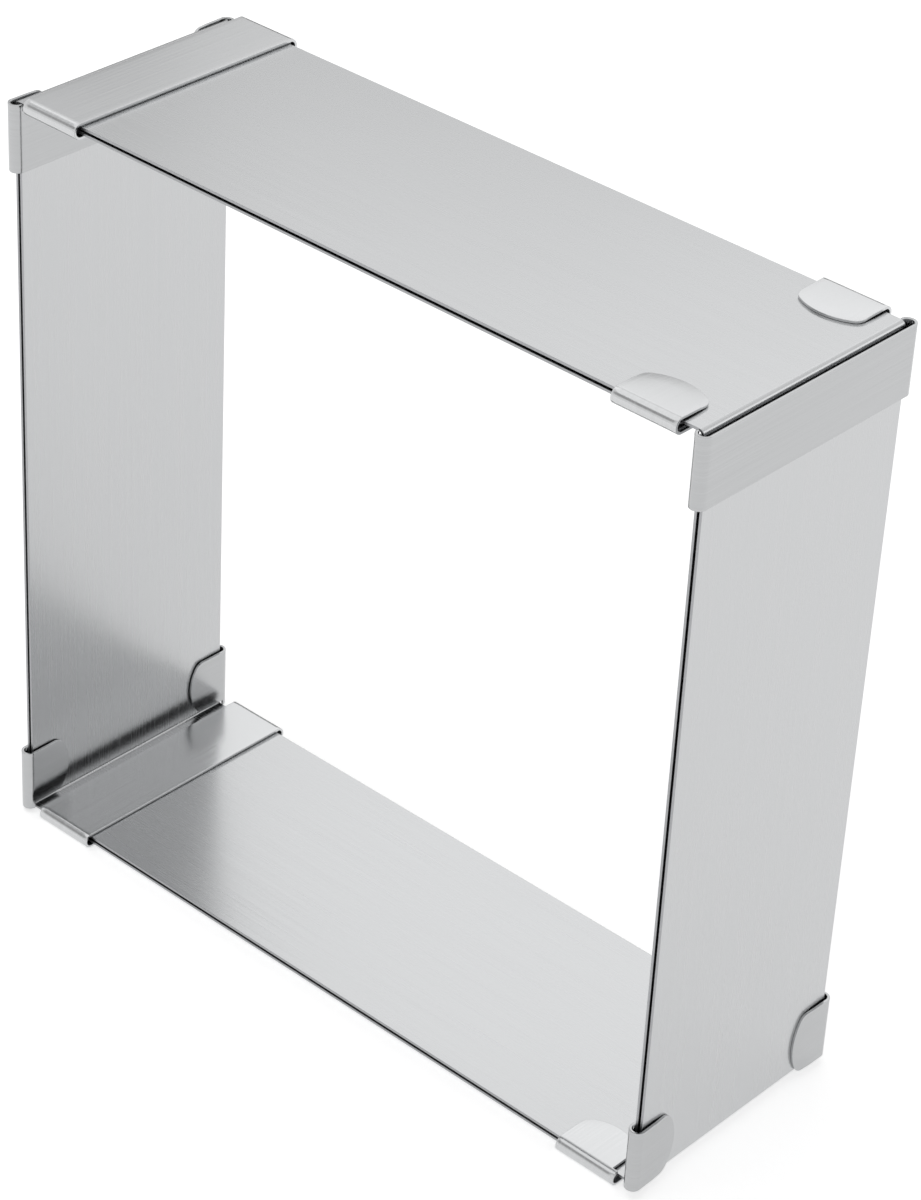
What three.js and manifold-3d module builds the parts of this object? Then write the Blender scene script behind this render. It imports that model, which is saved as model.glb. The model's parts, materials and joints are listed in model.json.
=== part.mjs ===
// Adjustable baking frame: four bent sheet angles that slide in eight folded clips.
// Millimetres, +Z up. X is the frame's width, Y its depth (the opening's axis), Z its height.
// The frame stands on its bottom side, and the origin is under its middle, on the surface it stands on.
import * as THREE from "three";
import { mergeVertices } from "three/addons/utils/BufferGeometryUtils.js";
import Module from "manifold-3d";

// Sheet angles.
const SHEET_THICKNESS = 0.5;
const SHEET_DEPTH = 50;
const LEG_LENGTH = 148.8; // from the outside of the bend to the leg's free end
const BEND_INNER_RADIUS = 0.5;
const BEND_STEPS = 8;

// Clearances. A leg's end stops this far from the sheet that it would meet when the frame is closed.
const SHEET_GAP = 0.5; // between the two sheets of a side
const CLIP_GAP = 0.3; // between a clip and the sheet beside it
const STOP_GAP = 0.8;

// How far each direction stands open from fully closed in the stored pose.
const WIDTH_OPEN = 4;
const HEIGHT_OPEN = 0;

// Clips.
const CLIP_THICKNESS = 0.5;
const CLIP_WIDTH = 11.8; // the part of a clip that lies along its leg
const CLIP_OVERRUN = 1.2; // how far a clip's outside half runs past the leg's end
const FOLD_REACH = 1.75; // how far a fold stands out past the sheet's edge
const FOLD_STEPS = 16;
const TAB_END_REACH = 6.3; // from the sheet's edge to the tab's corners
const TAB_MIDDLE_REACH = 8.6; // from the sheet's edge to the middle of the half-moon
const TAB_CORNER_RADIUS = 1.1;
const TAB_STEPS = 24;
const JOIN_OVERLAP = 0.4; // how far a tab runs into its fold where the two are joined

const STEEL = 0xc4c5c7;

// Sizes that follow from the ones above.
const BEND_OUTER_RADIUS = BEND_INNER_RADIUS + SHEET_THICKNESS;
const SHEET_PITCH = SHEET_THICKNESS + SHEET_GAP; // from one sheet's face to the same face of the next
const PAIR_THICKNESS = SHEET_PITCH + SHEET_THICKNESS;
const CLIP_OUTER = PAIR_THICKNESS / 2 + CLIP_GAP + CLIP_THICKNESS; // from a side's middle to a clip's face
const CLIP_INNER = CLIP_OUTER - CLIP_THICKNESS;
const FOLD_CENTRE = SHEET_DEPTH / 2 + FOLD_REACH - CLIP_OUTER;
const CLIP_PROUD = CLIP_GAP + CLIP_THICKNESS; // from a side's outer sheet to its clips' outer faces

// The outside of the two sheets of each side. The left side's is at x = 0 and the bottom side's at z = 0
// before the frame is moved over its origin.
const FRAME_WIDTH = LEG_LENGTH + STOP_GAP + WIDTH_OPEN + PAIR_THICKNESS;
const FRAME_HEIGHT = LEG_LENGTH + STOP_GAP + HEIGHT_OPEN + PAIR_THICKNESS;
const ORIGIN_X = FRAME_WIDTH / 2;
const ORIGIN_Z = -CLIP_PROUD;

const wasm = await Module();
wasm.setup();

// A three.js geometry as a solid that can be cut and joined.
function toSolid(geometry) {
  const bare = new THREE.BufferGeometry();
  bare.setAttribute("position", geometry.getAttribute("position"));
  if (geometry.index) {
    bare.setIndex(geometry.index);
  }
  const merged = mergeVertices(bare, 1e-5);
  return new wasm.Manifold(
    new wasm.Mesh({
      numProp: 3,
      vertProperties: new Float32Array(merged.getAttribute("position").array),
      triVerts: new Uint32Array(merged.index.array),
    }),
  );
}

// A solid as a three.js geometry with flat faces.
function toGeometry(solid) {
  const mesh = solid.getMesh();
  const geometry = new THREE.BufferGeometry();
  geometry.setAttribute("position", new THREE.BufferAttribute(mesh.vertProperties, 3));
  geometry.setIndex(new THREE.BufferAttribute(mesh.triVerts, 1));
  const flat = geometry.toNonIndexed();
  flat.computeVertexNormals();
  return flat;
}

// Points on an arc, both ends included.
function arc(cx, cy, radius, from, to, steps) {
  const points = [];
  for (let i = 0; i <= steps; i += 1) {
    const a = from + ((to - from) * i) / steps;
    points.push(new THREE.Vector2(cx + radius * Math.cos(a), cy + radius * Math.sin(a)));
  }
  return points;
}

function extrude(points, length) {
  return new THREE.ExtrudeGeometry(new THREE.Shape(points), {
    depth: length,
    bevelEnabled: false,
    steps: 1,
  });
}

// One sheet angle. The outside of its bend is at the local origin, and its legs run along +X and +Y.
// It is centred on the local Z, which is the frame's depth.
function angleGeometry() {
  const c = BEND_OUTER_RADIUS;
  const points = [
    ...arc(c, c, BEND_OUTER_RADIUS, Math.PI, 1.5 * Math.PI, BEND_STEPS),
    new THREE.Vector2(LEG_LENGTH, 0),
    new THREE.Vector2(LEG_LENGTH, SHEET_THICKNESS),
    ...arc(c, c, BEND_INNER_RADIUS, 1.5 * Math.PI, Math.PI, BEND_STEPS),
    new THREE.Vector2(SHEET_THICKNESS, LEG_LENGTH),
    new THREE.Vector2(0, LEG_LENGTH),
  ];
  return extrude(points, SHEET_DEPTH).translate(0, 0, -SHEET_DEPTH / 2);
}

// The half-moon outline of a tab, from its fold towards the middle of the sheet. X runs along the leg.
function tabOutline(start, end) {
  const fold = FOLD_CENTRE + JOIN_OVERLAP;
  const edge = SHEET_DEPTH / 2;
  const corner = edge - TAB_END_REACH;
  const middle = edge - TAB_MIDDLE_REACH;
  const half = (end - start) / 2;
  const bulge = corner - middle;
  const radius = (half * half + bulge * bulge) / (2 * bulge);
  const cx = (start + end) / 2;
  const cy = middle + radius;
  // The rounded corners touch the tab's straight ends and the large arc.
  const r = TAB_CORNER_RADIUS;
  const roundX = half - r;
  const roundY = cy - Math.sqrt((radius - r) * (radius - r) - roundX * roundX);
  const lean = Math.atan2(roundY - cy, roundX);
  const mirrored = -Math.PI - lean;
  return [
    new THREE.Vector2(start, fold),
    ...arc(cx - roundX, roundY, r, -Math.PI, mirrored, BEND_STEPS),
    ...arc(cx, cy, radius, mirrored, lean, TAB_STEPS).slice(1, -1),
    ...arc(cx + roundX, roundY, r, lean, 0, BEND_STEPS),
    new THREE.Vector2(end, fold),
  ];
}

// One clip. The leg's free end is at local x = 0 and the leg runs towards -X. Local Y is the frame's depth,
// and local Z points from the middle of the side to the face that the clip's strip lies on. An outer leg's
// strip is outside the frame and its tabs are inside, and an inner leg's strip is inside. The clip runs past
// the leg's end, except for tabs that are inside and for a trimmed strip, which end with the leg.
function clipGeometry(stripOutside, trimmed) {
  const down = -Math.PI / 2;
  const up = Math.PI / 2;
  const profile = [
    ...arc(FOLD_CENTRE, 0, CLIP_OUTER, down, up, FOLD_STEPS),
    ...arc(-FOLD_CENTRE, 0, CLIP_OUTER, up, up + Math.PI, FOLD_STEPS),
    ...arc(-FOLD_CENTRE, 0, CLIP_INNER, up + Math.PI, up, FOLD_STEPS),
    ...arc(FOLD_CENTRE, 0, CLIP_INNER, up, down, FOLD_STEPS),
  ];
  // The profile is drawn in Y and Z, and the extrusion is laid along X.
  const lay = new THREE.Matrix4().makeBasis(
    new THREE.Vector3(0, 1, 0),
    new THREE.Vector3(0, 0, 1),
    new THREE.Vector3(1, 0, 0),
  );
  const length = CLIP_WIDTH + CLIP_OVERRUN;
  let clip = toSolid(extrude(profile, length).applyMatrix4(lay).translate(-CLIP_WIDTH, 0, 0));
  const tabEnd = stripOutside ? 0 : CLIP_OVERRUN;
  const tab = extrude(tabOutline(-CLIP_WIDTH, tabEnd), CLIP_THICKNESS).translate(0, 0, -CLIP_OUTER);
  const farTab = tab.clone().rotateZ(Math.PI).translate(tabEnd - CLIP_WIDTH, 0, 0);
  clip = clip.add(toSolid(tab)).add(toSolid(farTab));
  if (trimmed) {
    const room = new THREE.BoxGeometry(2 * CLIP_OVERRUN, SHEET_DEPTH + 2 * CLIP_GAP, 2 * CLIP_OUTER);
    clip = clip.subtract(toSolid(room.translate(CLIP_OVERRUN, 0, CLIP_OUTER)));
  }
  return toGeometry(clip);
}

const frame = new THREE.Group();
frame.name = "baking_frame";

function addPiece(name, geometry, along, out, position) {
  const material = new THREE.MeshStandardMaterial({ color: STEEL, roughness: 0.32, metalness: 1 });
  const mesh = new THREE.Mesh(geometry, material);
  mesh.name = name;
  const turn = new THREE.Matrix4().makeBasis(along, new THREE.Vector3().crossVectors(out, along), out);
  mesh.quaternion.setFromRotationMatrix(turn);
  mesh.position.set(position[0] - ORIGIN_X, 0, position[1] - ORIGIN_Z);
  frame.add(mesh);
}

const PLUS_X = new THREE.Vector3(1, 0, 0);
const MINUS_X = new THREE.Vector3(-1, 0, 0);
const MINUS_Y = new THREE.Vector3(0, -1, 0);
const PLUS_Z = new THREE.Vector3(0, 0, 1);
const MINUS_Z = new THREE.Vector3(0, 0, -1);

// The outside of each angle's bend. Each angle has one leg in its side's outer layer and one in the inner.
const BOTTOM_LEFT = [SHEET_PITCH, 0];
const BOTTOM_RIGHT = [FRAME_WIDTH, SHEET_PITCH];
const TOP_RIGHT = [FRAME_WIDTH - SHEET_PITCH, FRAME_HEIGHT];
const TOP_LEFT = [0, FRAME_HEIGHT - SHEET_PITCH];

addPiece("angle_bottom_left", angleGeometry(), PLUS_X, MINUS_Y, BOTTOM_LEFT);
addPiece("angle_bottom_right", angleGeometry(), PLUS_Z, MINUS_Y, BOTTOM_RIGHT);
addPiece("angle_top_right", angleGeometry(), MINUS_X, MINUS_Y, TOP_RIGHT);
addPiece("angle_top_left", angleGeometry(), MINUS_Z, MINUS_Y, TOP_LEFT);

// The middle of the two sheets of each side.
const LEFT_MIDDLE = PAIR_THICKNESS / 2;
const RIGHT_MIDDLE = FRAME_WIDTH - PAIR_THICKNESS / 2;
const BOTTOM_MIDDLE = PAIR_THICKNESS / 2;
const TOP_MIDDLE = FRAME_HEIGHT - PAIR_THICKNESS / 2;

// The height stands closed, so the inner strips of the upright sides are trimmed clear of the sheets above
// and below them.
const outerClip = () => clipGeometry(true, false);
const levelInnerClip = () => clipGeometry(false, false);
const uprightInnerClip = () => clipGeometry(false, true);

addPiece("clip_bottom_outer", outerClip(), PLUS_X, MINUS_Z, [BOTTOM_LEFT[0] + LEG_LENGTH, BOTTOM_MIDDLE]);
addPiece("clip_left_inner", uprightInnerClip(), PLUS_Z, PLUS_X, [LEFT_MIDDLE, BOTTOM_LEFT[1] + LEG_LENGTH]);
addPiece("clip_right_outer", outerClip(), PLUS_Z, PLUS_X, [RIGHT_MIDDLE, BOTTOM_RIGHT[1] + LEG_LENGTH]);
addPiece("clip_bottom_inner", levelInnerClip(), MINUS_X, PLUS_Z, [BOTTOM_RIGHT[0] - LEG_LENGTH, BOTTOM_MIDDLE]);
addPiece("clip_top_outer", outerClip(), MINUS_X, PLUS_Z, [TOP_RIGHT[0] - LEG_LENGTH, TOP_MIDDLE]);
addPiece("clip_right_inner", uprightInnerClip(), MINUS_Z, MINUS_X, [RIGHT_MIDDLE, TOP_RIGHT[1] - LEG_LENGTH]);
addPiece("clip_left_outer", outerClip(), MINUS_Z, MINUS_X, [LEFT_MIDDLE, TOP_LEFT[1] - LEG_LENGTH]);
addPiece("clip_top_inner", levelInnerClip(), PLUS_X, MINUS_Z, [TOP_LEFT[0] + LEG_LENGTH, TOP_MIDDLE]);

export default frame;
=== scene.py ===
# %% [markdown]
# # An adjustable baking frame in satin stainless sheet
# The frame is four bent sheet angles that slide in eight folded clips. The imported model gives every piece's
# place and the bodies that move, so we load it first and keep its box.

# %% Load the imported frame
import json
import math

import bmesh
import bpy
from mathutils import Matrix, Vector


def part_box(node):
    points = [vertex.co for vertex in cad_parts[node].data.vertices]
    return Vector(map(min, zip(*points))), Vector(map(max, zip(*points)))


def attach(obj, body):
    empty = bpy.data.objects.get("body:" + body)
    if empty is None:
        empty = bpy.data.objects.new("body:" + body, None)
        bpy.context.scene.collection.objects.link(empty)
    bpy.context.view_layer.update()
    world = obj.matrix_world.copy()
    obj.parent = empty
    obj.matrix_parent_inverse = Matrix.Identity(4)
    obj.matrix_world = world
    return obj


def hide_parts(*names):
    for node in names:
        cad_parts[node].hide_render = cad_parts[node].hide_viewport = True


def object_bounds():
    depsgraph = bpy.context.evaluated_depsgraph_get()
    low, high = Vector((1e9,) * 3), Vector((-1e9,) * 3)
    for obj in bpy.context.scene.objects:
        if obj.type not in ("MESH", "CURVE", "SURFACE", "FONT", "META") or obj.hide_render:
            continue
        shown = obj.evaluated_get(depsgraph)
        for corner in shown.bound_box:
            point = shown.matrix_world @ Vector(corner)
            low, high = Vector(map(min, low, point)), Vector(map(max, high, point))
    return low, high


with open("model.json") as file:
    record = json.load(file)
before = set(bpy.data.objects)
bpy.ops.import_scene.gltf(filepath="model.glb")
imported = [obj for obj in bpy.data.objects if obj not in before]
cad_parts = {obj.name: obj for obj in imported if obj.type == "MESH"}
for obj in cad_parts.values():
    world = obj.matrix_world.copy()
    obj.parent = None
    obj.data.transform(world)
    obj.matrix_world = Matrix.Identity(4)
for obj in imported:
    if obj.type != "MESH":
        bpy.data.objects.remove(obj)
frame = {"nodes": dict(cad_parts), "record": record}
cad_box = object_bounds()
MM = 0.001

# %% [markdown]
# ## Working on sheet metal
# Both kinds of piece are bent from sheet, so they share a few moves: pull a row of edges straight, turn it
# round a bend, and round the cut edges as a deburring wheel does. A fine bevel matters on metal, because a
# perfectly sharp edge would never catch the light.

# %% Moves that shape a surface
BEND_SHARPNESS = math.radians(50)
DEBURR_SEGMENTS = 2


def pull(bm, edges, by):
    """Extrudes a row of edges and returns the new row."""
    made = bmesh.ops.extrude_edge_only(bm, edges=edges)["geom"]
    bmesh.ops.translate(bm, vec=by, verts=[g for g in made if isinstance(g, bmesh.types.BMVert)])
    return [
        g for g in made
        if isinstance(g, bmesh.types.BMEdge) and all(v in made for v in g.verts)
    ]


def turn(bm, edges, centre, axis, angle, steps):
    """Spins a row of edges round an axis and returns the last row."""
    made = bmesh.ops.spin(
        bm, geom=edges, cent=centre, axis=axis, dvec=(0, 0, 0), angle=angle, steps=steps, use_merge=False
    )
    return [g for g in made["geom_last"] if isinstance(g, bmesh.types.BMEdge)]


def deburr(bm, width):
    """Rounds every edge where two faces meet at a clear angle."""
    sharp = [e for e in bm.edges if e.is_manifold and e.calc_face_angle(0) > BEND_SHARPNESS]
    bmesh.ops.bevel(
        bm, geom=sharp, offset=width, segments=DEBURR_SEGMENTS, profile=0.5, affect="EDGES", material=-1,
        clamp_overlap=True,
    )


print("edges sharper than %.0f degrees are rounded" % math.degrees(BEND_SHARPNESS))

# %% From surface to finished object
MERGE_DISTANCE = 0.0005 * MM
FLAT_FACE_WEIGHT = 100


def close_up(bm):
    """Merges doubled points and turns all faces the same way."""
    bmesh.ops.remove_doubles(bm, verts=bm.verts, dist=MERGE_DISTANCE)
    bmesh.ops.recalc_face_normals(bm, faces=bm.faces)


def as_object(bm, name):
    """Turns a bmesh into an object whose flat faces stay flat and whose bends shade smoothly."""
    close_up(bm)
    open_edges = sum(1 for e in bm.edges if not e.is_manifold)
    mesh = bpy.data.meshes.new(name)
    bm.to_mesh(mesh)
    bm.free()
    mesh.shade_smooth()
    piece = bpy.data.objects.new(name, mesh)
    bpy.context.collection.objects.link(piece)
    weighted = piece.modifiers.new("even normals", "WEIGHTED_NORMAL")
    weighted.mode = "FACE_AREA"
    weighted.weight = FLAT_FACE_WEIGHT
    print(name, "faces", len(mesh.polygons), "open edges", open_edges)
    return piece


print("points closer than %.4f mm become one" % (MERGE_DISTANCE / MM))

# %% [markdown]
# ## The sheet angles
# A real angle is one strip of sheet folded once over a bar, so its bend has a small, even radius and its cut
# edges are only deburred. It could be cut from a block, but a sheet is better made the way the maker makes
# it: draw one edge, pull it out into a leg, spin it round the bend, pull out the second leg, and then give
# the surface its thickness. The rims left by the shears get a material number of their own.

# %% Sizes of the sheets
SHEET_THICKNESS = 0.5 * MM
SHEET_DEPTH = 50 * MM
BEND_OUTER_RADIUS = 1.0 * MM
BEND_STEPS = 12
DEBURR = 0.07 * MM
RIM_WIDTH = 1.1 * DEBURR  # a little wider than the bevel, so that the bevel counts as rim
CUT_EDGE = 1  # the sheet's second material
print("sheet %.1f mm thick, %.0f mm deep" % (SHEET_THICKNESS / MM, SHEET_DEPTH / MM))


# %% One sheet angle
def mark_cut_edges(bm, leg_x, leg_z):
    """Gives the faces on the sheared ends and sides the cut edge's material."""
    rim = Vector((leg_x, SHEET_DEPTH / 2, leg_z)) - Vector((RIM_WIDTH, RIM_WIDTH, RIM_WIDTH))
    for face in bm.faces:
        ends = [min(v.co.x for v in face.verts) > rim.x, min(v.co.z for v in face.verts) > rim.z]
        sides = [min(v.co.y for v in face.verts) > rim.y, max(v.co.y for v in face.verts) < -rim.y]
        if any(ends + sides):
            face.material_index = CUT_EDGE


def sheet_angle(node):
    """Makes the angle that stands for a node. Its corner and leg directions are read from the node's box."""
    low, high = (Vector(c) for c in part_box(node))
    to_right = 1 if "left" in node else -1
    to_top = 1 if "bottom" in node else -1
    corner = Vector((low.x if to_right > 0 else high.x, 0, low.z if to_top > 0 else high.z))
    leg_x = high.x - low.x
    leg_z = high.z - low.z
    bm = bmesh.new()
    start = [bm.verts.new((leg_x, y, 0)) for y in (-SHEET_DEPTH / 2, SHEET_DEPTH / 2)]
    row = [bm.edges.new(start)]
    row = pull(bm, row, Vector((BEND_OUTER_RADIUS - leg_x, 0, 0)))
    bend_centre = Vector((BEND_OUTER_RADIUS, 0, BEND_OUTER_RADIUS))
    row = turn(bm, row, bend_centre, (0, 1, 0), math.pi / 2, BEND_STEPS)
    pull(bm, row, Vector((0, 0, leg_z - BEND_OUTER_RADIUS)))
    close_up(bm)
    to_inside = Vector((1, 0, 1))
    leg_face = max(bm.faces, key=lambda f: f.calc_area())
    faces_in = leg_face.normal.dot(to_inside) > 0
    bmesh.ops.solidify(bm, geom=bm.faces[:], thickness=-SHEET_THICKNESS if faces_in else SHEET_THICKNESS)
    bmesh.ops.recalc_face_normals(bm, faces=bm.faces)
    deburr(bm, DEBURR)
    mark_cut_edges(bm, leg_x, leg_z)
    place = Matrix.Translation(corner) @ Matrix.Diagonal((to_right, 1, to_top, 1))
    bmesh.ops.transform(bm, matrix=place, verts=bm.verts)
    return as_object(bm, node.replace("angle", "sheet"))


# %% [markdown]
# ## The clips
# Each clip is a strip that crosses one face of the sheets, folds round both edges and ends in a half-moon
# tab on the other face. We start at the tab: swing one point round the half-moon's centre, pull that row to
# the fold in two steps, so that the tab's tip leans onto the sheet, spin it half a turn round the sheet's
# edge, and pull it to the middle of the strip. The other half is a mirror copy. A clip runs a little past
# the end of its leg. Only the tabs inside the frame and the inside strips of the upright sides end with the
# leg, to clear the sheet across their way.

# %% Sizes of the clips
CLIP_THICKNESS = 0.5 * MM
CLIP_WIDTH = 11.8 * MM
CLIP_OVERRUN = 1.2 * MM
CLIP_OUTER = 1.55 * MM  # from the middle of the two sheets to the clip's outer face
FOLD_REACH = 1.75 * MM
FOLD_CENTRE = SHEET_DEPTH / 2 + FOLD_REACH - CLIP_OUTER
FOLD_STEPS = 18
TAB_END_REACH = 6.3 * MM
TAB_MIDDLE_REACH = 8.6 * MM
TAB_CORNER_RADIUS = 1.0 * MM
CORNER_STEPS = 5
MOON_STEPS = 10
print("fold round a line %.2f mm from the middle" % (FOLD_CENTRE / MM))

# %% How a clip presses and where it is welded
TAB_LEAN = 0.28 * MM
BEND_LEAN = 0.1 * MM  # for the tabs that end in the next sheet's bend, to clear its curve
TAB_TIP = 3.0 * MM
TIP_SHARE = 0.8  # of the lean, taken within the tip
WELD_HEIGHT = 0.28 * MM
WELD_SLOPE = 0.02 * MM
HAIR = 0.001 * MM  # what still counts as on a plane
SEAT_HAIR = 0.01 * MM
FACING_DOWN = -0.999
print("tabs lean %.2f mm, strips reach down %.2f mm" % (TAB_LEAN / MM, WELD_HEIGHT / MM))


# %% The tab, the fold and the strip
def half_moon(bm, start, end, height):
    """Swings a point along the tab's curved edge and returns the two corners of the row."""
    half = (end - start) / 2
    bulge = TAB_MIDDLE_REACH - TAB_END_REACH
    radius = (half**2 + bulge**2) / (2 * bulge)
    tab_corner = SHEET_DEPTH / 2 - TAB_END_REACH
    first = bm.verts.new((start, tab_corner, height))
    moon_centre = ((start + end) / 2, tab_corner - bulge + radius, height)
    swing = 2 * math.asin(half / radius)
    bmesh.ops.spin(
        bm, geom=[first], cent=moon_centre, axis=(0, 0, 1), dvec=(0, 0, 0), angle=swing, steps=MOON_STEPS
    )
    return [v for v in bm.verts if len(v.link_edges) == 1]


def half_clip(strip_outside, trimmed, lean):
    """The outer face of half a clip. X runs along the leg to its end at 0, Z points to the strip's face."""
    bm = bmesh.new()
    tab_end = 0 if strip_outside else CLIP_OVERRUN
    corners = half_moon(bm, -CLIP_WIDTH, tab_end, lean - CLIP_OUTER)
    tab_length = FOLD_CENTRE - SHEET_DEPTH / 2 + TAB_END_REACH
    row = pull(bm, bm.edges[:], Vector((0, TAB_TIP, -TIP_SHARE * lean)))
    row = pull(bm, row, Vector((0, tab_length - TAB_TIP, (TIP_SHARE - 1) * lean)))
    fold_line = Matrix.Translation((0, -FOLD_CENTRE, 0))
    bmesh.ops.scale(bm, vec=(1, 0, 1), space=fold_line, verts=list({v for e in row for v in e.verts}))
    row = turn(bm, row, (0, FOLD_CENTRE, 0), (1, 0, 0), math.pi, FOLD_STEPS)
    pull(bm, row, Vector((0, -FOLD_CENTRE, 0)))
    bmesh.ops.bevel(
        bm, geom=corners, offset=TAB_CORNER_RADIUS, segments=CORNER_STEPS, profile=0.5, affect="VERTICES",
        material=-1,
    )
    if strip_outside:
        run_past_end(bm)
    if trimmed:
        trim_strip(bm)
    return bm


# %% The ends of a clip
def run_past_end(bm):
    """Pulls the ends of the fold and the strip past the leg, and leaves the tab."""
    on_end = [e for e in bm.edges if e.is_boundary and all(abs(v.co.x) < HAIR for v in e.verts)]
    fold = [e for e in on_end if min(v.co.y for v in e.verts) > FOLD_CENTRE - HAIR]
    strip = [e for e in on_end if min(v.co.z for v in e.verts) > CLIP_OUTER - HAIR]
    pull(bm, fold + strip, Vector((CLIP_OVERRUN, 0, 0)))


def trim_strip(bm):
    """Cuts the strip off at the end of the leg."""
    strip = [f for f in bm.faces if all(v.co.z > CLIP_OUTER - HAIR for v in f.verts)]
    parts = strip + list({e for f in strip for e in f.edges}) + list({v for f in strip for v in f.verts})
    bmesh.ops.bisect_plane(bm, geom=parts, plane_co=(0, 0, 0), plane_no=(1, 0, 0), dist=HAIR)
    past = [f for f in bm.faces if all(v.co.z > CLIP_OUTER - HAIR and v.co.x > -HAIR for v in f.verts)]
    bmesh.ops.delete(bm, geom=past, context="FACES")


def reach_down_to_sheet(bm):
    """Lowers the underside of the strip to the sheet, where the real strip is welded on."""
    under = CLIP_OUTER - CLIP_THICKNESS
    seat = [
        f for f in bm.faces
        if f.normal.z < FACING_DOWN
        and all(abs(v.co.z - under) < SEAT_HAIR and v.co.x < SEAT_HAIR for v in f.verts)
    ]
    bmesh.ops.inset_region(bm, faces=seat, thickness=WELD_SLOPE, depth=WELD_HEIGHT, use_even_offset=True)


# %% Where a clip sits
def clip_place(node, carrier):
    """Reads a clip's place and directions from two boxes, and tells whether its leg stands upright."""
    low, high = (Vector(c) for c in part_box(node))
    sheet_low, sheet_high = (Vector(c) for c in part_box(carrier))
    spot = (low + high) / 2
    along_axis = 2 if high.x - low.x < high.z - low.z else 0
    out_axis = 2 - along_axis
    at_low_end = spot[along_axis] < (sheet_low[along_axis] + sheet_high[along_axis]) / 2
    along = Vector((0, 0, 0))
    along[along_axis] = -1 if at_low_end else 1
    box_middle = (cad_box[0][out_axis] + cad_box[1][out_axis]) / 2
    outside = 1 if spot[out_axis] > box_middle else -1
    out = Vector((0, 0, 0))
    out[out_axis] = outside if "outer" in node else -outside
    spot[along_axis] = sheet_low[along_axis] if at_low_end else sheet_high[along_axis]
    basis = Matrix((along, out.cross(along), out)).transposed().to_4x4()
    return Matrix.Translation(spot) @ basis, along_axis == 2


# %% One clip
def edge_clip(node, carrier):
    """Makes the clip that stands for a node, at the end of its carrier's leg."""
    place, upright = clip_place(node, carrier)
    outer = "outer" in node
    bm = half_clip(outer, upright and not outer, BEND_LEAN if upright and outer else TAB_LEAN)
    bmesh.ops.mirror(bm, geom=bm.verts[:] + bm.edges[:] + bm.faces[:], axis="Y", merge_dist=HAIR)
    close_up(bm)
    strip_face = max(bm.faces, key=lambda f: f.calc_center_median().z)
    inward = 1 if strip_face.normal.z > 0 else -1
    bmesh.ops.solidify(bm, geom=bm.faces[:], thickness=inward * CLIP_THICKNESS)
    bmesh.ops.recalc_face_normals(bm, faces=bm.faces)
    deburr(bm, DEBURR)
    reach_down_to_sheet(bm)
    bmesh.ops.transform(bm, matrix=place, verts=bm.verts)
    return as_object(bm, node.replace("clip", "strip"))


# %% [markdown]
# ## Four bodies that slide
# One angle and the two clips welded to it move as one body. Each piece stands for one solid of the packed
# model, so it replaces that solid and rides on its body. Comparing the two boxes
# shows at once whether a piece has the wrong size or sits in the wrong place.

# %% Make every piece and let it ride on its body
ANGLES = [n for n in frame["nodes"] if n.startswith("angle")]
sheets, strips = [], []
for body, nodes in frame["record"]["behaviour"]["bodies"].items():
    carrier = next(n for n in nodes if n in ANGLES)
    for node in nodes:
        if node == carrier:
            piece = sheet_angle(node)
            sheets.append(piece)
        else:
            piece = edge_clip(node, carrier)
            strips.append(piece)
        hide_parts(node)
        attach(piece, body)
        box_low = [min(v.co[i] for v in piece.data.vertices) for i in range(3)]
        box_high = [max(v.co[i] for v in piece.data.vertices) for i in range(3)]
        cad_low, cad_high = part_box(node)
        off = max(abs(a - b) for a, b in zip(box_low + box_high, list(cad_low) + list(cad_high)))
        print(node, "differs from its solid's box by %.3f mm" % (off / MM))

# %% [markdown]
# ## Satin stainless steel
# The sheet is cold-rolled stainless with a brushed finish: a grey metal whose fine parallel scratches blur
# what it reflects and leave faint streaks. A metal needs no diffuse colour, so the look is a base colour, a
# roughness that varies from streak to streak, and a slight bump. A photograph of steel could be laid on
# instead, but noise stretched along the grain has no seams and keeps its size on every piece.


# %% Small helpers for materials
def srgb(hex_code):
    """A hex colour as linear red, green and blue."""
    parts = [int(hex_code[i:i + 2], 16) / 255 for i in (1, 3, 5)]
    return [c / 12.92 if c <= 0.04045 else ((c + 0.055) / 1.055) ** 2.4 for c in parts] + [1.0]


def add(tree, kind, settings=None, values=None, links=None):
    """Adds one node, sets its properties and inputs, and links its inputs."""
    node = tree.nodes.new(kind)
    for key, value in (settings or {}).items():
        setattr(node, key, value)
    for key, value in (values or {}).items():
        node.inputs[key].default_value = value
    for key, socket in (links or {}).items():
        tree.links.new(socket, node.inputs[key])
    return node


# %% Sizes of the finish
# Real scratches are about 0.05 mm apart, too fine for the picture, so they are drawn a few times coarser.
STREAK_WIDTH = 0.22 * MM
STREAK_LENGTH = 45 * MM
STREAK_DEPTH = 0.02 * MM
CLOUD_SIZE = 60 * MM
CLOUD_DEPTH = 1.0 * MM
CLOUD_BUMP = 0.05
STREAK_RAMP = (0.3, 0.7)
ROUGH_RANGE = (0.25, 0.75)
ROUGH_SPREAD = 0.05
print("streaks %.2f mm wide and %.0f mm long" % (STREAK_WIDTH / MM, STREAK_LENGTH / MM))


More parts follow.
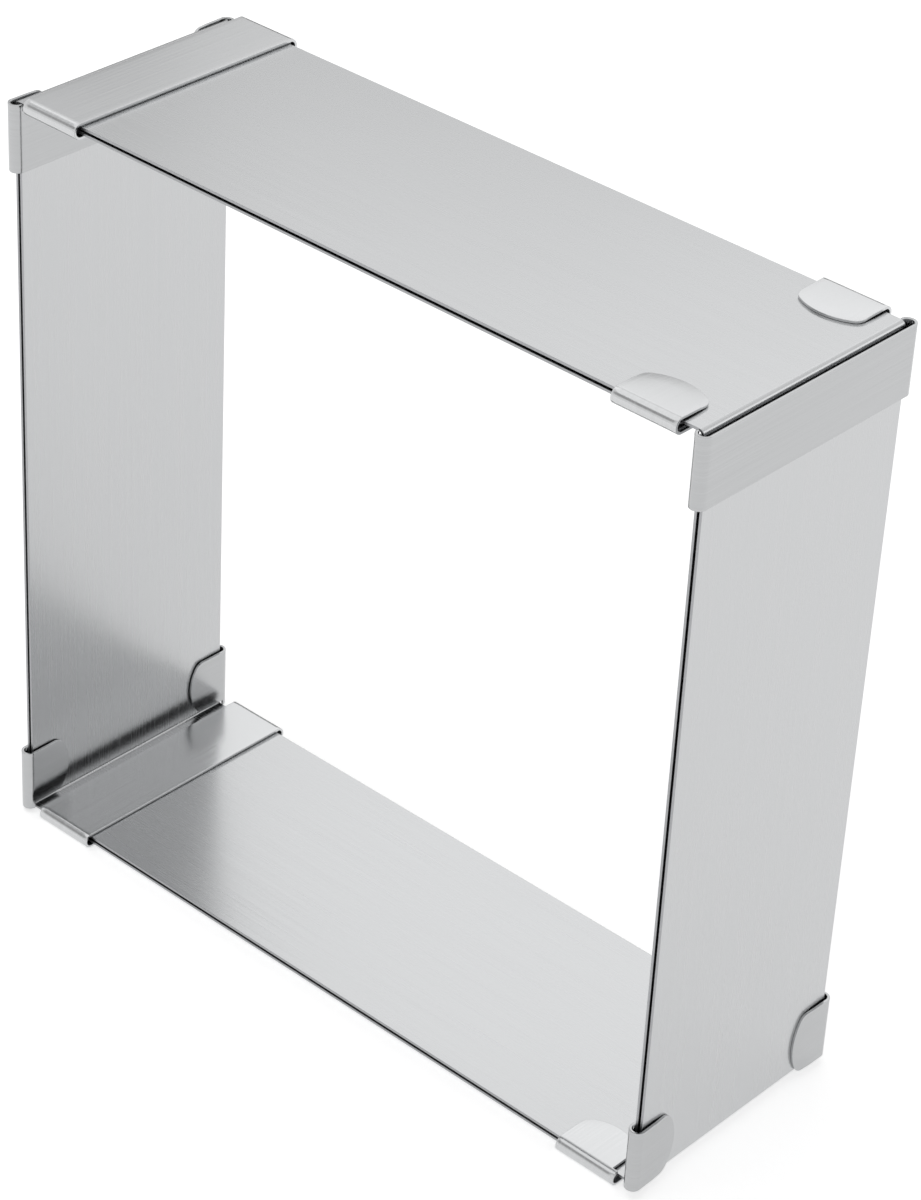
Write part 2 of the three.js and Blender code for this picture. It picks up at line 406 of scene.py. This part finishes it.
# %% The brushed finish
def brushed_steel(name, colour, grain, roughness, streak_shade, streak_bump):
    """Satin stainless steel. grain has a 1 for each axis that the scratches run along, and a 0 across them."""
    material = bpy.data.materials.new(name)
    material.use_nodes = True
    tree = material.node_tree
    shader = tree.nodes["Principled BSDF"]
    shader.inputs["Metallic"].default_value = 1.0
    place = add(tree, "ShaderNodeTexCoord").outputs["Object"]
    scale = [1 / STREAK_LENGTH if along else 1 / STREAK_WIDTH for along in grain]
    stretch = add(tree, "ShaderNodeMapping", values={"Scale": scale}, links={"Vector": place})
    streaks = add(
        tree, "ShaderNodeTexNoise", values={"Scale": 1.0, "Detail": 3.0, "Roughness": 0.6},
        links={"Vector": stretch.outputs["Vector"]},
    ).outputs["Fac"]
    clouds = add(
        tree, "ShaderNodeTexNoise", values={"Scale": 1 / CLOUD_SIZE, "Detail": 2.0, "Roughness": 0.5},
        links={"Vector": place},
    ).outputs["Fac"]
    base = srgb(colour)
    shades = add(tree, "ShaderNodeValToRGB", links={"Fac": streaks})
    for stop, position, change in zip(shades.color_ramp.elements, STREAK_RAMP, (-streak_shade, streak_shade)):
        stop.position = position
        stop.color = [c * (1 + change) for c in base[:3]] + [1]
    rough = add(
        tree, "ShaderNodeMapRange",
        values={
            "From Min": ROUGH_RANGE[0], "From Max": ROUGH_RANGE[1],
            "To Min": roughness - ROUGH_SPREAD, "To Max": roughness + ROUGH_SPREAD,
        },
        links={"Value": streaks},
    )
    wave = add(
        tree, "ShaderNodeBump",
        values={"Strength": CLOUD_BUMP, "Distance": CLOUD_DEPTH}, links={"Height": clouds},
    )
    bump = add(
        tree, "ShaderNodeBump",
        values={"Strength": streak_bump, "Distance": STREAK_DEPTH},
        links={"Height": streaks, "Normal": wave.outputs["Normal"]},
    )
    tree.links.new(shades.outputs["Color"], shader.inputs["Base Color"])
    tree.links.new(rough.outputs["Result"], shader.inputs["Roughness"])
    tree.links.new(bump.outputs["Normal"], shader.inputs["Normal"])
    return material


# %% [markdown]
# ## Three satin faces and a sheared edge
# The sheets are brushed along their length and the strips are cut across the brushing, so the grain turns
# where a strip begins, and the eye reads two pieces of metal. The shears leave the rims torn and dull, which
# draws a thin grey line along the sheets.

# %% The four finishes
# Brushed along each leg: soft, even reflections with faint streaks.
satin_sheet = brushed_steel("satin_stainless_sheet", "#C3C4C5", (1, 0, 1), 0.25, 0.02, 0.035)
# Brushed across the sheets below and above: stronger streaks, and a lighter colour as painted light on the
# level strips.
level_strip_painted_light = brushed_steel("satin_stainless_level_strip_painted_light", "#CACBCC", (0, 1, 1), 0.22, 0.045, 0.05)
# The same on the upright sides, with a darker colour as painted shade on the upright strips, which makes the
# bands stand out from the sheets.
upright_strip_painted_shade = brushed_steel("satin_stainless_upright_strip_painted_shade", "#B7B8B9", (1, 1, 0), 0.22, 0.045, 0.05)
# Cut by shears and not brushed: speckled without a grain, darker and dull.
sheared_edge = brushed_steel("sheared_stainless_edge", "#A6A7A9", (0, 0, 0), 0.4, 0.12, 0.05)
for piece in sheets:
    piece.data.materials.append(satin_sheet)
    piece.data.materials.append(sheared_edge)
for piece in strips:
    # Level strips take the copy painted lighter and upright strips the copy painted darker: painted light and
    # painted shade by the way each faces.
    lies_level = "top" in piece.name or "bottom" in piece.name
    piece.data.materials.append(level_strip_painted_light if lies_level else upright_strip_painted_shade)
print("materials:", satin_sheet.name, level_strip_painted_light.name, upright_strip_painted_shade.name, sheared_edge.name)

# %% [markdown]
# ## The white room
# The photograph is a cut-out on white, and metal shows its surroundings. So the world is white to the camera,
# white with four soft dark cards to reflections, and dimmer as a light. Photographers set up black cards in
# the same way: the tabs and folds lean towards them and mirror dark lines, while the flat sheets mirror the
# white between. Each card is a direction with a dark core and a soft rim.

# %% World
WHITE = 1.0
SKY_AS_LAMP = 0.35
# Direction, core and rim in degrees, and how much light is left in the core.
DARK_CARDS = [
    ((-0.64, 0.74, 0.19), 11, 18, 0.25),  # low at the back left, for the tabs that lean
    ((-0.55, -0.65, 0.5), 10, 20, 0.4),  # front left, for the folds
    ((0.45, 0.45, 0.77), 11, 15, 0.4),  # high at the back right, for the inside corner
    ((-0.25, -0.08, 0.96), 25, 38, 0.3),  # overhead, so that the top stays grey from above
]
world = bpy.data.worlds.new("white studio")
bpy.context.scene.world = world
world.use_nodes = True
sky = world.node_tree
way = add(sky, "ShaderNodeTexCoord").outputs["Object"]
room = None
for direction, core, rim, shade in DARK_CARDS:
    towards = add(
        sky, "ShaderNodeVectorMath", {"operation": "DOT_PRODUCT"},
        values={1: Vector(direction).normalized()}, links={0: way},
    )
    card = add(
        sky, "ShaderNodeMapRange", {"interpolation_type": "SMOOTHSTEP"},
        values={
            "From Min": math.cos(math.radians(rim)), "From Max": math.cos(math.radians(core)),
            "To Min": WHITE, "To Max": shade,
        },
        links={"Value": towards.outputs["Value"]},
    ).outputs["Result"]
    if room is None:
        room = card
    else:
        both = add(sky, "ShaderNodeMath", {"operation": "MULTIPLY"}, links={0: room, 1: card})
        room = both.outputs["Value"]
path = add(sky, "ShaderNodeLightPath")
mirrored = add(
    sky, "ShaderNodeMath", {"operation": "MAXIMUM"},
    links={0: path.outputs["Is Glossy Ray"], 1: path.outputs["Is Transmission Ray"]},
)
as_lamp = add(
    sky, "ShaderNodeMix", {"data_type": "FLOAT"}, values={"A": SKY_AS_LAMP},
    links={"Factor": mirrored.outputs["Value"], "B": room},
)
sky_shade = add(
    sky, "ShaderNodeMix", {"data_type": "FLOAT"}, values={"B": WHITE},
    links={"Factor": path.outputs["Is Camera Ray"], "A": as_lamp.outputs["Result"]},
)
sky.links.new(sky_shade.outputs["Result"], sky.nodes["Background"].inputs["Color"])
print("world with", len(DARK_CARDS), "dark cards")

# %% [markdown]
# ## The paper floor
# The frame stands on a broad sheet of white paper, which keeps a soft shadow under it. The lamps fade away
# from the frame, so the paper has a glow of its own that rises with the distance, and the ground stays one
# white. Only the camera and reflections see that glow, and the shadow on the paper stays.


# %% Floor
def white_to_the_eye(tree):
    """A value of 1 for camera, mirror and see-through rays, and 0 for the rest."""
    rays = add(tree, "ShaderNodeLightPath")
    first = add(
        tree, "ShaderNodeMath", {"operation": "MAXIMUM"},
        links={0: rays.outputs["Is Camera Ray"], 1: rays.outputs["Is Glossy Ray"]},
    )
    return add(
        tree, "ShaderNodeMath", {"operation": "MAXIMUM"},
        links={0: first.outputs["Value"], 1: rays.outputs["Is Transmission Ray"]},
    ).outputs["Value"]


FLOOR_SIZE = 6.0
GLOW_NEAR, GLOW_FAR = 0.6, 0.72
GLOW_FROM, GLOW_TO = 120 * MM, 900 * MM
bm = bmesh.new()
bmesh.ops.create_grid(bm, x_segments=1, y_segments=1, size=FLOOR_SIZE / 2)
floor_mesh = bpy.data.meshes.new("floor")
bm.to_mesh(floor_mesh)
bm.free()
floor = bpy.data.objects.new("floor", floor_mesh)
bpy.context.collection.objects.link(floor)
print("floor %.0f m wide" % FLOOR_SIZE)

# %% Paper
floor_paint = bpy.data.materials.new("white_paper")  # uncoated pulp: flat white without any shine
floor_paint.use_nodes = True
paper = floor_paint.node_tree
paper_shader = paper.nodes["Principled BSDF"]
paper_shader.inputs["Base Color"].default_value = srgb("#F2F2F2")
paper_shader.inputs["Roughness"].default_value = 0.9
paper_shader.inputs["Specular IOR Level"].default_value = 0.0
paper_shader.inputs["Emission Color"].default_value = (1, 1, 1, 1)
spot = add(paper, "ShaderNodeTexCoord").outputs["Object"]
away = add(paper, "ShaderNodeVectorMath", {"operation": "LENGTH"}, links={0: spot})
rise = add(
    paper, "ShaderNodeMapRange",
    values={"From Min": GLOW_FROM, "From Max": GLOW_TO, "To Min": GLOW_NEAR, "To Max": GLOW_FAR},
    links={"Value": away.outputs["Value"]},
)
glow = add(
    paper, "ShaderNodeMath", {"operation": "MULTIPLY"},
    links={0: white_to_the_eye(paper), 1: rise.outputs["Result"]},
)
paper.links.new(glow.outputs["Value"], paper_shader.inputs["Emission Strength"])
floor.data.materials.append(floor_paint)
print("paper glows from", GLOW_NEAR, "to", GLOW_FAR)

# %% [markdown]
# ## Three soft lamps
# A broad softbox overhead gives the even light and the soft shadow. Two small ones stand behind the frame,
# where the satin sheets mirror them as a gentle brightening. All are weak, because the white room already
# lights the metal and a stronger lamp would burn the top out to white.


# %% Lamps
def softbox(name, place, target, width, height, watts):
    """A rectangular lamp that faces the target."""
    light = bpy.data.lights.new(name, "AREA")
    light.shape = "RECTANGLE"
    light.size = width
    light.size_y = height
    light.energy = watts
    lamp = bpy.data.objects.new(name, light)
    lamp.location = place
    lamp.rotation_euler = (Vector(target) - Vector(place)).to_track_quat("-Z", "Y").to_euler()
    bpy.context.collection.objects.link(lamp)
    print("lamp", name, watts, "W")


FRAME_MIDDLE = (0, 0, 75 * MM)
softbox("overhead", (-0.3, -0.1, 1.2), FRAME_MIDDLE, 1.2, 1.2, 4.0)
softbox("back left", (-0.42, 0.73, 0.62), FRAME_MIDDLE, 0.6, 0.5, 0.36)
softbox("back right", (0.54, 0.52, 0.35), FRAME_MIDDLE, 0.5, 0.36, 0.25)

# %% [markdown]
# ## The camera
# The camera was fitted to the sheet edges of the photograph: its direction, distance, tilt and lens are the
# ones that lay the model's edges on the picture's.

# %% Camera
AZIMUTH = math.radians(40.937)
ELEVATION = math.radians(33.197)
ROLL = math.radians(3.218)
DISTANCE = 649.7 * MM
TARGET = Vector((8.59 * MM, 0, 77.89 * MM))
FOCAL_PIXELS = 3726.6
PHOTO_HEIGHT_PIXELS = 1200
SENSOR_HEIGHT = 36.0
NEAR_LIMIT = 10 * MM

back = Vector((
    math.sin(AZIMUTH) * math.cos(ELEVATION),
    -math.cos(AZIMUTH) * math.cos(ELEVATION),
    math.sin(ELEVATION),
))
sideways = Vector((math.cos(AZIMUTH), math.sin(AZIMUTH), 0))
plumb = back.cross(sideways)
right = math.cos(ROLL) * sideways + math.sin(ROLL) * plumb
up = -math.sin(ROLL) * sideways + math.cos(ROLL) * plumb
lens = bpy.data.cameras.new("photo camera")
lens.sensor_fit = "VERTICAL"
lens.sensor_height = SENSOR_HEIGHT
lens.lens = FOCAL_PIXELS / PHOTO_HEIGHT_PIXELS * SENSOR_HEIGHT
lens.clip_start = NEAR_LIMIT
camera = bpy.data.objects.new("photo camera", lens)
facing = Matrix((right, up, back)).transposed().to_4x4()
camera.matrix_world = Matrix.Translation(TARGET + back * DISTANCE) @ facing
bpy.context.collection.objects.link(camera)
bpy.context.scene.camera = camera
bpy.context.scene.view_settings.view_transform = "Standard"
print("lens %.1f mm" % lens.lens)
